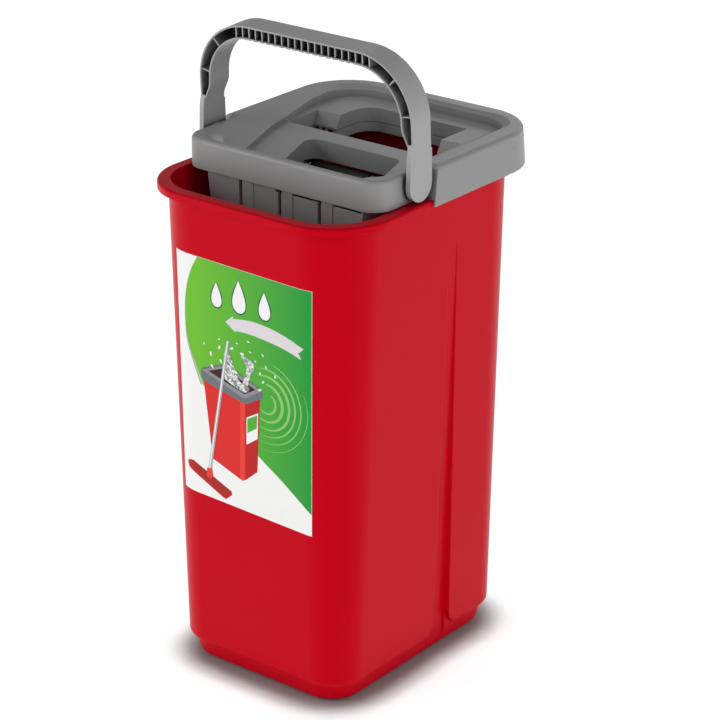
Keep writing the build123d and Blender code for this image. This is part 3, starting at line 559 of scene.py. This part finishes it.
def print_background(surface, inks):
    """Green field with a long arc on the left and a slanting foot, its silver edge, and the rings."""
    left_arc = smooth_line(
        [(0.165, 0.0), (0.095, 0.086), (0.055, 0.19), (0.048, 0.29), (0.074, 0.375), (0.17, 0.53)]
    )
    foot = smooth_line([(0.40, 0.66), (0.58, 0.755), (0.78, 0.84), (1.0, 0.945)])
    past_the_edge = [(1.03, 0.96), (1.03, -0.02), (0.19, -0.02)]
    print_outline(surface, "label_field", inks["green"], left_arc + foot + past_the_edge)

    inner_edge = smooth_line([(0.0475, 0.29), (0.0735, 0.375), (0.165, 0.53)])
    outer_edge = smooth_line([(0.046, 0.29), (0.062, 0.375), (0.150, 0.53)])
    print_outline(surface, "label_edge_line", inks["edge_grey"], inner_edge + outer_edge[::-1])

    centre = surface.flat(0.655, 0.52)
    rings = (
        # radius, thickness at the start and the end, start and end angle
        (0.0085, 0.0010, 0.0030, -150, 60),
        (0.0150, 0.0015, 0.0040, -130, 95),
        (0.0215, 0.0012, 0.0036, -120, 110),
        (0.0270, 0.0010, 0.0026, -112, 105),
        (0.0325, 0.0008, 0.0016, -105, 80),
        (0.0385, 0.0004, 0.0008, -100, 25),
    )
    printed_piece(surface, "label_rings", [(arc_band(centre, *ring), inks["ring"]) for ring in rings])


def print_title(surface, inks):
    """Plain banner that narrows to an arrow head on the left, and three drops above it."""
    top = smooth_line([(0.419, 0.214), (0.55, 0.203), (0.673, 0.206), (0.81, 0.223), (0.941, 0.251)])
    bottom = smooth_line([(0.924, 0.297), (0.80, 0.276), (0.67, 0.264), (0.55, 0.258), (0.441, 0.260)])
    arrow = [(0.362, 0.236), (0.422, 0.203), *top, (0.903, 0.274), *bottom, (0.437, 0.267)]
    print_outline(surface, "label_banner", inks["banner"], arrow)

    rim_width = 0.0011
    drops = [
        (surface.flat(across, down), size)
        for across, down, size in ((0.30, 0.135, 0.020), (0.47, 0.118, 0.026), (0.66, 0.125, 0.022))
    ]
    edges = [(drop_outline(middle, size, grow=rim_width), inks["outline"]) for middle, size in drops]
    faces = [(drop_outline(middle, size), inks["white"]) for middle, size in drops]
    printed_piece(surface, "label_drop_edges", edges)
    printed_piece(surface, "label_drops", faces)


def print_small_bucket(surface, inks):
    """Small generic bucket: body, lit and shaded sides, rim, lip and mouth."""
    body = [
        (0.176, 0.50), (0.225, 0.832), (0.43, 0.880), (0.455, 0.884), (0.475, 0.878), (0.569, 0.825),
        (0.608, 0.51),
    ]
    shaded_side = [(0.497, 0.54), (0.475, 0.878), (0.569, 0.825), (0.608, 0.51)]
    lit_corner = [(0.455, 0.54), (0.437, 0.879), (0.455, 0.884), (0.468, 0.880), (0.492, 0.54)]
    rim = [
        (0.158, 0.470), (0.175, 0.455), (0.335, 0.414), (0.37, 0.414), (0.620, 0.470), (0.632, 0.482),
        (0.624, 0.505), (0.510, 0.550), (0.47, 0.552), (0.175, 0.510), (0.160, 0.492),
    ]
    lip = [(0.168, 0.466), (0.335, 0.420), (0.37, 0.419), (0.620, 0.476), (0.500, 0.528), (0.47, 0.529)]
    mouth = [(0.215, 0.463), (0.345, 0.430), (0.575, 0.480), (0.490, 0.512)]
    print_outline(surface, "label_bucket", inks["red"], body)
    sides = [
        (surface.outline(shaded_side), inks["deep_red"]),
        (surface.outline(lit_corner), inks["light_red"]),
    ]
    printed_piece(surface, "label_bucket_sides", sides)
    print_outline(surface, "label_bucket_rim", inks["rim_grey"], rim)
    print_outline(surface, "label_bucket_lip", inks["rim_light"], lip)
    print_outline(surface, "label_bucket_mouth", inks["inside"], mouth)


def print_splash(surface, inks):
    """A sheet of water, a curl and a scatter of beads that spirals outward."""
    sheet = smooth_line(
        [
            (0.345, 0.475), (0.34, 0.42), (0.372, 0.355), (0.405, 0.392), (0.435, 0.445), (0.47, 0.470),
            (0.53, 0.482), (0.49, 0.505), (0.40, 0.490),
        ],
        steps=5,
    )
    curl = smooth_line(
        [
            (0.478, 0.470), (0.505, 0.425), (0.512, 0.395), (0.470, 0.352), (0.520, 0.362), (0.556, 0.366),
            (0.570, 0.392), (0.540, 0.430), (0.515, 0.475),
        ],
        steps=5,
    )
    water = [(surface.outline(outline), inks["water"]) for outline in (sheet, curl)]
    printed_piece(surface, "label_splash", water)

    bead_count, golden_angle = 26, 2.39996
    beads = []
    for index in range(bead_count):
        turn = index * golden_angle
        reach = 0.010 + 0.0009 * index
        across = 0.47 + math.cos(turn) * reach * 9
        down = 0.385 + math.sin(turn) * reach * 3.2
        half_size = 0.0012 + 0.0011 * ((index * 7) % 5) / 5
        bead = drop_outline(surface.flat(across, down), half_size * 2, lean=turn)
        beads.append((bead, inks["white"]))
    printed_piece(surface, "label_beads", beads)


def print_mop(surface, inks):
    """Flat mop: pole with a line of light, head and socket."""
    pole = [(0.365, 0.314), (0.389, 0.310), (0.212, 0.882), (0.186, 0.886)]
    pole_shine = [(0.371, 0.314), (0.379, 0.312), (0.200, 0.884), (0.191, 0.885)]
    head = [
        (0.018, 0.884), (0.030, 0.872), (0.070, 0.868), (0.362, 0.948), (0.368, 0.962), (0.318, 0.990),
        (0.300, 0.988), (0.028, 0.905),
    ]
    head_top = [(0.035, 0.884), (0.075, 0.876), (0.352, 0.953), (0.308, 0.979)]
    socket = [(0.178, 0.880), (0.216, 0.876), (0.222, 0.905), (0.205, 0.925), (0.172, 0.915)]
    print_outline(surface, "label_mop_pole", inks["silver"], pole)
    print_outline(surface, "label_mop_shine", inks["white"], pole_shine)
    print_outline(surface, "label_mop_head", inks["deep_red"], head)
    print_outline(surface, "label_mop_top", inks["mop_red"], head_top)
    print_outline(surface, "label_mop_socket", inks["light_red"], socket)


def print_small_label(surface, inks):
    """The small bucket's own label: a white patch with a green field."""
    patch = [(0.499, 0.608), (0.590, 0.574), (0.580, 0.683), (0.493, 0.723)]
    field = [(0.505, 0.613), (0.583, 0.584), (0.576, 0.640), (0.502, 0.672)]
    print_outline(surface, "label_small_patch", inks["white"], patch)
    print_outline(surface, "label_small_field", inks["green"], field)


def make_label(settings):
    """All of the print, from the field up."""
    surface = LabelSurface(settings.lift)
    inks = mix_inks(settings)
    print_background(surface, inks)
    print_title(surface, inks)
    print_small_bucket(surface, inks)
    print_splash(surface, inks)
    print_mop(surface, inks)
    print_small_label(surface, inks)


# ---- springs ------------------------------------------------------------------------------
COIL_RADIUS = 0.0046
COIL_LENGTH = 0.0072
POINTS_IN_TURN = 28


def wire_mesh(name, path, radius):
    """Round wire along a list of points."""
    curve = bpy.data.curves.new(name + "_path", "CURVE")
    curve.dimensions = "3D"
    curve.bevel_depth = radius
    curve.bevel_resolution = 3
    curve.use_fill_caps = True
    spline = curve.splines.new("POLY")
    spline.points.add(len(path) - 1)
    for point, place in zip(spline.points, path):
        point.co = (*place, 1.0)
    holder = bpy.data.objects.new(name + "_path", curve)
    bpy.context.scene.collection.objects.link(holder)
    bpy.context.view_layer.update()
    mesh = bpy.data.meshes.new_from_object(holder.evaluated_get(bpy.context.evaluated_depsgraph_get()))
    bpy.data.objects.remove(holder)
    bpy.data.curves.remove(curve)
    mesh.name = name
    for polygon in mesh.polygons:
        polygon.use_smooth = True
    return mesh


def spring_path(start_x, axis, leg_foot, leg_front, turns):
    """One leg down from the coil, the coil itself along X, and the other leg out to the front."""
    steps = turns * POINTS_IN_TURN + POINTS_IN_TURN // 4
    path = [Vector((start_x, axis.y - COIL_RADIUS, leg_foot))]
    for step in range(steps + 1):
        turn = math.pi - 2 * math.pi * step / POINTS_IN_TURN
        x = start_x + COIL_LENGTH * step / steps
        y = axis.y + COIL_RADIUS * math.cos(turn)
        z = axis.z + COIL_RADIUS * math.sin(turn)
        path.append(Vector((x, y, z)))
    path.append(Vector((path[-1].x, leg_front, axis.z + COIL_RADIUS)))
    return path


def make_springs(settings):
    """Two torsion springs round the carrier pin, one near each end."""
    low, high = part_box("torsion_springs")
    axis = Vector(joints["squeeze_swing"]["pos_m"])
    middle = (low.x + high.x) / 2
    offset = (high.x - low.x) / 2 - COIL_LENGTH / 2 - settings.wire
    steel = metal("spring_steel", (0.50, 0.50, 0.51), 0.28, brush=900.0)
    for side, name in ((-1, "left_torsion_spring"), (1, "right_torsion_spring")):
        start_x = middle + side * offset - COIL_LENGTH / 2
        path = spring_path(start_x, axis, low.z + settings.wire, low.y + settings.wire, settings.turns)
        mesh = wire_mesh(name, path, settings.wire)
        mesh.materials.append(steel)
        spring = bpy.data.objects.new(name, mesh)
        bpy.context.scene.collection.objects.link(spring)
        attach(spring, "squeeze_carrier")
        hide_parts("torsion_springs")


# ---- stage --------------------------------------------------------------------------------
def aim(obj, place, target):
    """Put a camera or a light somewhere and point it at the target."""
    obj.location = place
    obj.rotation_euler = (Vector(target) - Vector(place)).to_track_quat("-Z", "Y").to_euler()


def add_area_light(name, place, width, height, power):
    """Rectangular soft light that faces the middle of the bucket."""
    bucket_middle = (0.0, 0.0, 0.26)
    data = bpy.data.lights.new(name, "AREA")
    data.shape = "RECTANGLE"
    data.size = width
    data.size_y = height
    data.energy = power
    light = bpy.data.objects.new(name, data)
    bpy.context.scene.collection.objects.link(light)
    aim(light, place, bucket_middle)


def make_camera(settings):
    """Camera to the right of the front and above it."""
    azimuth, elevation = settings.azimuth, settings.elevation
    back = Vector(
        (
            math.sin(azimuth) * math.cos(elevation),
            -math.cos(azimuth) * math.cos(elevation),
            math.sin(elevation),
        )
    )
    right = Vector((math.cos(azimuth), math.sin(azimuth), 0.0))
    up = back.cross(right)
    tub_middle = Vector((0.0, -0.004, 0.195))
    move_right, move_up = 0.01585, 0.0361
    target = tub_middle + right * move_right + up * move_up
    data = bpy.data.cameras.new("camera")
    data.sensor_width = 36.0
    data.lens = settings.lens
    data.clip_end = 60.0
    camera = bpy.data.objects.new("camera", data)
    bpy.context.scene.collection.objects.link(camera)
    aim(camera, target + back * settings.distance, target)
    bpy.context.scene.camera = camera


def make_floor(settings):
    """Pale floor that glows where it is open, with a painted contact shadow where the glow fades close
    under the tub.
    """
    material, tree, shader = start_material("studio_floor", tuple(settings.floor), 0.6)
    shader.inputs["Specular IOR Level"].default_value = 0.2
    shader.inputs["Emission Strength"].default_value = 1.0
    # painted contact shadow: the floor's glow fades where the tub closes it in
    openness = put(tree, "ShaderNodeAmbientOcclusion", {"Distance": 0.035}, samples=8)
    lit = remap(tree, openness.outputs["AO"], before=(0.58, 0.90), after=(0.0, 1.0))
    glow = mix_colour(tree, lit, (0.0, 0.0, 0.0), (0.85, 0.85, 0.85))
    mottled = noise(tree, object_space(tree), scale=3.0)
    tree.links.new(glow, shader.inputs["Emission Color"])
    tree.links.new(remap(tree, mottled, (0.3, 0.7), (0.55, 0.65)), shader.inputs["Roughness"])
    half = 8.0
    corners = [(-half, -half, 0), (half, -half, 0), (half, half, 0), (-half, half, 0)]
    mesh = bpy.data.meshes.new("floor")
    mesh.from_pydata(corners, [], [(0, 1, 2, 3)])
    mesh.materials.append(material)
    floor = bpy.data.objects.new("floor", mesh)
    bpy.context.scene.collection.objects.link(floor)


# ---- operators ----------------------------------------------------------------------------
class BUCKET_OT_tub(bpy.types.Operator):
    """Give the red tub its satin moulded finish"""

    bl_idname = "bucket.tub"
    bl_label = "Finish the tub"

    def execute(self, context):
        settings = context.scene.bucket_plastics
        softer_edge = settings.edge * 1.5
        # the finish lightens the tub's edges a little, partly as wear and partly as a painted highlight
        finish = moulded_plastic(
            "tub_plastic",
            tuple(settings.tub),
            0.32,
            settings.grain,
            softer_edge,
            specular=0.08,
            drift=0.06,
            scuff_height=0.03,
            edge_gain=1.1,
            tint=(1.0, 0.22, 0.28),
        )
        dress(["bucket"], finish)
        return {"FINISHED"}


class BUCKET_OT_label(bpy.types.Operator):
    """Print the label: green field, rings, banner, drops and a small picture, without words"""

    bl_idname = "bucket.label"
    bl_label = "Print the label"

    def execute(self, context):
        settings = context.scene.bucket_label
        dress(["front_label"], ink("label_paper", tuple(settings.paper)))
        make_label(settings)
        return {"FINISHED"}


class BUCKET_OT_grey_parts(bpy.types.Operator):
    """Give the insert's frame, collar and housing and the handle their grey finish"""

    bl_idname = "bucket.grey_parts"
    bl_label = "Finish the grey parts"

    def execute(self, context):
        settings = context.scene.bucket_plastics
        grey, grain, edge = tuple(settings.grey), settings.grain, settings.edge
        handle_grey = shade(grey, 1.25)
        # shared settings paint shade into the crevices; edge_gain lightens edges, partly as wear and
        # partly as a painted highlight
        shared = {"drift": 0.08, "painted_shade_reach": 0.012}
        frame_finish = moulded_plastic("grey_plastic", grey, 0.40, grain, edge, edge_gain=1.7, **shared)
        handle_finish = moulded_plastic(
            "handle_plastic", handle_grey, 0.36, grain, edge, edge_gain=1.5, **shared
        )
        dress(GREY_PARTS, frame_finish)
        dress(["handle"], handle_finish)
        return {"FINISHED"}


class BUCKET_OT_wringer_parts(bpy.types.Operator):
    """Finish the wringer's black and pale plastic parts, its pins, screws and rubber"""

    bl_idname = "bucket.wringer_parts"
    bl_label = "Finish the wringer parts"

    def execute(self, context):
        settings = context.scene.bucket_plastics
        grain, edge = settings.grain, settings.edge
        fine_grain, fine_edge = grain / 2, edge / 2
        dark, pale = tuple(settings.dark), tuple(settings.pale)
        dress(DARK_PARTS, moulded_plastic("dark_plastic", dark, 0.40, grain, edge))
        dress(PALE_PARTS, moulded_plastic("roller_plastic", pale, 0.30, fine_grain, fine_edge))
        dress(PIN_PARTS, metal("pin_steel", (0.60, 0.60, 0.61), 0.22, brush=1400.0))
        dress(SCREW_PARTS, metal("screw_steel", (0.55, 0.55, 0.56), 0.32, brush=700.0))
        dress(["squeegee_blade"], rubber("blade_rubber", tuple(settings.rubber), 0.55, pores=900.0))
        dress(["roller_sleeve"], rubber("sleeve_rubber", tuple(settings.sleeve), 0.75, pores=450.0))
        return {"FINISHED"}


class BUCKET_OT_springs(bpy.types.Operator):
    """Wind the two torsion springs from round wire"""

    bl_idname = "bucket.springs"
    bl_label = "Wind the springs"

    def execute(self, context):
        make_springs(context.scene.bucket_spring)
        return {"FINISHED"}


class BUCKET_OT_stage(bpy.types.Operator):
    """Set up the camera, the pale floor and the soft lights"""

    bl_idname = "bucket.stage"
    bl_label = "Set the stage"

    def execute(self, context):
        settings = context.scene.bucket_studio
        make_camera(settings)
        make_floor(settings)
        for light in (
            # name, place, width, height and power
            ("key_light", (-1.35, -1.75, 0.85), 1.1, 1.7, settings.key),
            ("side_light", (2.0, -0.15, 0.75), 1.0, 1.7, settings.side),
            ("corner_light", (1.15, -1.9, 0.8), 0.18, 1.5, settings.corner),
            ("back_light", (-0.6, 2.1, 1.1), 1.6, 0.5, settings.back),
        ):
            add_area_light(*light)
        world = bpy.data.worlds.new("studio_world")
        world.use_nodes = True
        background = world.node_tree.nodes["Background"]
        background.inputs["Color"].default_value = (1.0, 1.0, 1.0, 1.0)
        background.inputs["Strength"].default_value = settings.world
        context.scene.world = world
        context.scene.view_settings.view_transform = "Standard"
        return {"FINISHED"}


class BUCKET_PT_panel(bpy.types.Panel):
    """Sidebar panel that lists the bucket's steps"""

    bl_idname = "BUCKET_PT_panel"
    bl_label = "Squeeze Bucket"
    bl_space_type = "VIEW_3D"
    bl_region_type = "UI"
    bl_category = "Bucket"

    def draw(self, context):
        for operator in OPERATORS:
            self.layout.operator(operator.bl_idname)
        for group in SETTINGS:
            settings = getattr(context.scene, group)
            for name in settings.__annotations__:
                self.layout.prop(settings, name)


OPERATORS = (
    BUCKET_OT_tub,
    BUCKET_OT_label,
    BUCKET_OT_grey_parts,
    BUCKET_OT_wringer_parts,
    BUCKET_OT_springs,
    BUCKET_OT_stage,
)
SETTINGS = {
    "bucket_plastics": BucketPlastics,
    "bucket_label": BucketLabel,
    "bucket_spring": BucketSpring,
    "bucket_studio": BucketStudio,
}
CLASSES = (*SETTINGS.values(), *OPERATORS, BUCKET_PT_panel)


def register():
    for each in CLASSES:
        bpy.utils.register_class(each)
    for name, group in SETTINGS.items():
        setattr(bpy.types.Scene, name, bpy.props.PointerProperty(type=group))


def unregister():
    for name in SETTINGS:
        delattr(bpy.types.Scene, name)
    for each in reversed(CLASSES):
        bpy.utils.unregister_class(each)


def main():
    register()
    bpy.ops.bucket.tub()
    bpy.ops.bucket.label()
    bpy.ops.bucket.grey_parts()
    bpy.ops.bucket.wringer_parts()
    bpy.ops.bucket.springs()
    bpy.ops.bucket.stage()
    bpy.context.view_layer.update()


if __name__ == "__main__":
    main()
